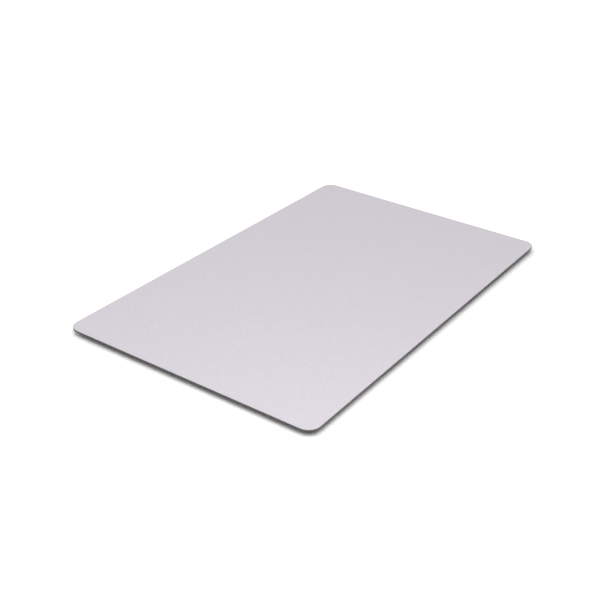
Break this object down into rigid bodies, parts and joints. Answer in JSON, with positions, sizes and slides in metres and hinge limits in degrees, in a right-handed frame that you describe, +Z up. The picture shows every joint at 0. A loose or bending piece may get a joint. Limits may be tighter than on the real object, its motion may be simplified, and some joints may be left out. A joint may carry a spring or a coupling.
{
  "type": "trackpad",
  "caption": "Flat glass trackpad module: an etched touch plate bonded to its sensor board, sprung on corner flexures over a steel tray and shaken sideways by an electromagnet.",
  "frame": {"origin": "middle of the tray's underside, on the surface that it rests on", "axes": "+X along the long side to the right, +Y to the rear edge, +Z up through the touch surface"},
  "size_m": [0.16, 0.1, 0.0025],
  "materials": {
    "etched_glass": "matte",
    "bonding_film": "satin",
    "circuit_board": "satin",
    "tray_steel": "satin",
    "stiffener_steel": "satin",
    "spring_steel": "satin",
    "rivet_steel": "satin",
    "nut_brass": "satin",
    "silicone_gel": "gloss",
    "stop_rubber": "matte",
    "gauge_film": "satin",
    "core_steel": "matte",
    "copper_wire": "gloss",
    "soft_iron": "satin",
    "chip_resin": "matte",
    "crystal_can": "satin",
    "ferrite": "matte",
    "storage_resin": "satin",
    "capacitor_ceramic": "satin",
    "resistor_ceramic": "satin",
    "connector_resin": "satin",
    "contact_gold": "gloss",
    "anchor_tin": "satin",
    "latch_resin": "satin"
  },
  "bodies": {
    "base": {"base_tray": "tray_steel", "mounting_nuts": "nut_brass", "stop_pads": "stop_rubber", "flexure_rivets": "rivet_steel", "flexure_front_left": "spring_steel", "flexure_front_right": "spring_steel", "flexure_rear_left": "spring_steel", "flexure_rear_right": "spring_steel", "strain_gauge_front_left": "gauge_film", "strain_gauge_front_right": "gauge_film", "strain_gauge_rear_left": "gauge_film", "strain_gauge_rear_right": "gauge_film", "magnet_core": "core_steel", "core_screws": "rivet_steel", "coil_far_left": "copper_wire", "coil_mid_left": "copper_wire", "coil_mid_right": "copper_wire", "coil_far_right": "copper_wire", "coil_ribbon": "gauge_film"},
    "suspension": {"gel_pad_front_left": "silicone_gel", "gel_pad_front_right": "silicone_gel", "gel_pad_rear_left": "silicone_gel", "gel_pad_rear_right": "silicone_gel"},
    "touch_plate": {"cover_glass": "etched_glass", "glass_adhesive": "bonding_film", "sensor_board": "circuit_board", "stiffener_plate": "stiffener_steel", "armature": "soft_iron", "armature_rivets": "rivet_steel", "touch_controller": "chip_resin", "main_controller": "chip_resin", "memory_chip": "chip_resin", "clock_crystal": "crystal_can", "force_converter": "chip_resin", "coil_driver": "chip_resin", "motion_sensor": "chip_resin", "boost_inductor": "ferrite", "storage_capacitors": "storage_resin", "small_capacitors": "capacitor_ceramic", "small_resistors": "resistor_ceramic", "connector_housing": "connector_resin", "connector_contacts": "contact_gold", "connector_anchors": "anchor_tin"},
    "latch": {"connector_latch": "latch_resin"}
  },
  "joints": [
    {"name": "press", "type": "slide", "parent": "base", "child": "suspension", "axis": [0, 0, -1], "range_m": [0, 0.0002], "stiffness_N_per_m": 10000, "springref_m": -0.00006, "deforming": ["flexure_front_left", "flexure_front_right", "flexure_rear_left", "flexure_rear_right", "strain_gauge_front_left", "strain_gauge_front_right", "strain_gauge_rear_left", "strain_gauge_rear_right", "coil_ribbon"]},
    {"name": "haptic_shake", "type": "slide", "parent": "suspension", "child": "touch_plate", "axis": [0, 1, 0], "range_m": [-0.00015, 0.00015], "stiffness_N_per_m": 12000, "deforming": ["gel_pad_front_left", "gel_pad_front_right", "gel_pad_rear_left", "gel_pad_rear_right"]},
    {"name": "cable_latch", "type": "hinge", "parent": "touch_plate", "child": "latch", "pos_m": [0, 0.02745, 0.00044], "axis": [-1, 0, 0], "range_deg": [0, 90]}
  ]
}
